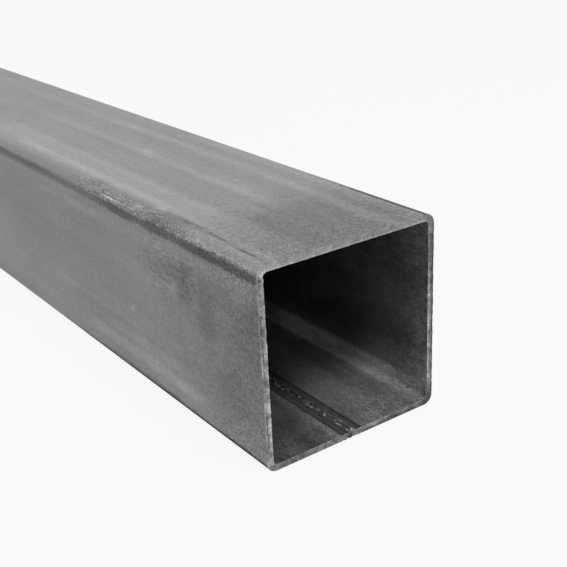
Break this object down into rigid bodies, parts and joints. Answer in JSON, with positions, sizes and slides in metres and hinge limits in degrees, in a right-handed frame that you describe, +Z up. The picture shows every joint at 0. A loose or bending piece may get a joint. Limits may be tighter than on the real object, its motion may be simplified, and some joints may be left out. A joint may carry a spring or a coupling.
{
  "type": "square steel tube",
  "caption": "Straight length of welded square steel tube, thin wall, open bore with an inside weld seam, ends sawn square.",
  "frame": {"origin": "under the middle of the tube, on the plane that its underside rests on", "axes": "+X along the tube towards the cut end that is shown, +Z up with the weld seam inside the bottom wall, +Y across the section"},
  "size_m": [1, 0.06, 0.06],
  "materials": {
    "mill_steel": "dull cold-formed mill finish, grey with darker scale patches, unpainted, dry"
  },
  "bodies": {
    "root": {"square_tube": "mill_steel"}
  },
  "joints": []
}
